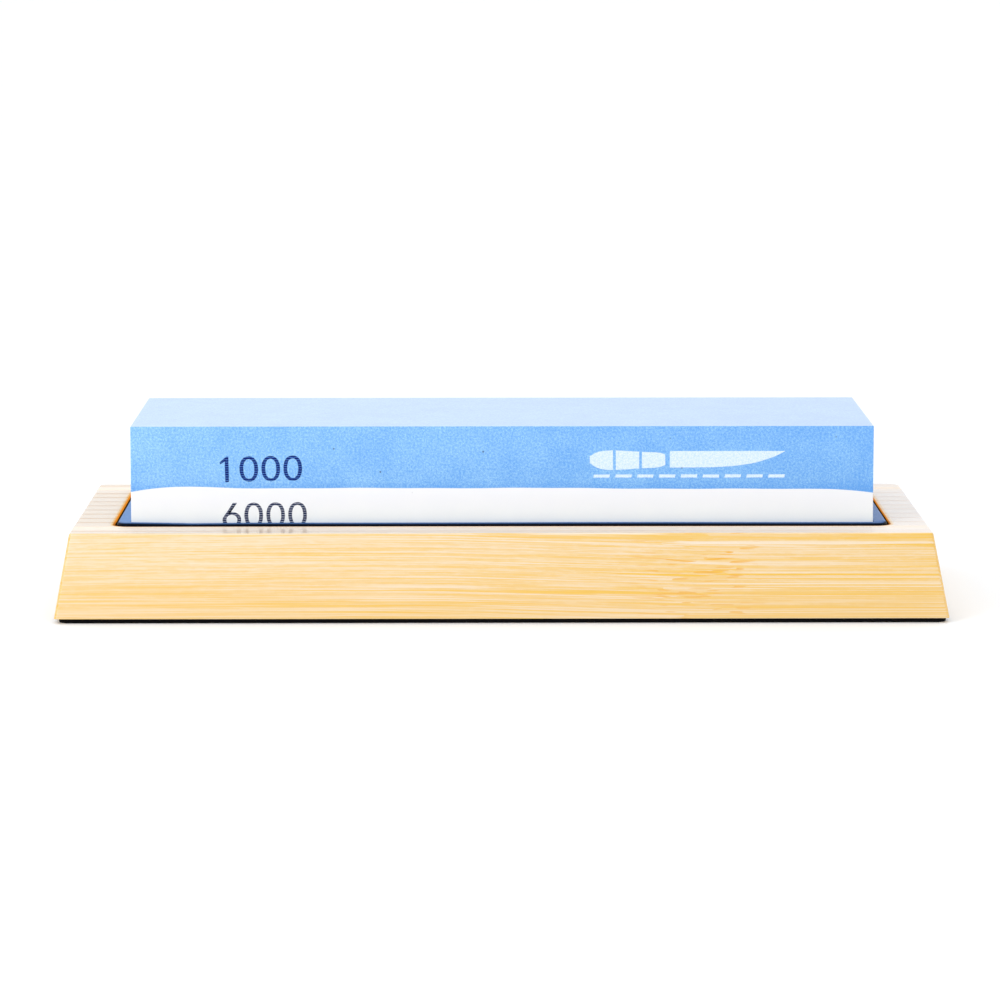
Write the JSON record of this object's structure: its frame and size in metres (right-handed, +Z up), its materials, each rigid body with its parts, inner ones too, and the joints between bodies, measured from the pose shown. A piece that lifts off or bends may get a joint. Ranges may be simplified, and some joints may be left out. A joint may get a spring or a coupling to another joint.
{
  "type": "sharpening whetstone",
  "caption": "Two-sided sharpening whetstone with a coarse and a fine layer, held in a silicone tray that drops into a sloped bamboo bench block on a rubber pad.",
  "frame": {"origin": "middle of the underside of the rubber pad, where the block stands", "axes": "+X along the stone, +Y from the front to the rear, +Z up, the way the stone and the tray lift out"},
  "size_m": [0.215, 0.0944, 0.0454],
  "materials": {
    "coarse_abrasive": "matt, fine open grain",
    "fine_abrasive": "matt, very fine and smooth",
    "silicone": "satin",
    "bamboo": "clear satin lacquer over bamboo",
    "base_rubber": "matt"
  },
  "bodies": {
    "base": {"rubber_base_pad": "base_rubber", "bamboo_strip_01": "bamboo", "bamboo_strip_02": "bamboo", "bamboo_strip_03": "bamboo", "bamboo_strip_04": "bamboo", "bamboo_strip_05": "bamboo", "bamboo_strip_06": "bamboo", "bamboo_strip_07": "bamboo", "bamboo_strip_08": "bamboo", "bamboo_strip_09": "bamboo", "bamboo_strip_10": "bamboo", "bamboo_strip_11": "bamboo", "bamboo_strip_12": "bamboo", "bamboo_strip_13": "bamboo"},
    "tray": {"silicone_tray": "silicone"},
    "stone": {"coarse_stone_layer": "coarse_abrasive", "fine_stone_layer": "fine_abrasive"}
  },
  "joints": [
    {"name": "tray_lift", "type": "slide", "parent": "base", "child": "tray", "axis": [0, 0, 1], "range_m": [0, 0.04]},
    {"name": "stone_lift", "type": "slide", "parent": "tray", "child": "stone", "axis": [0, 0, 1], "range_m": [0, 0.05]}
  ]
}
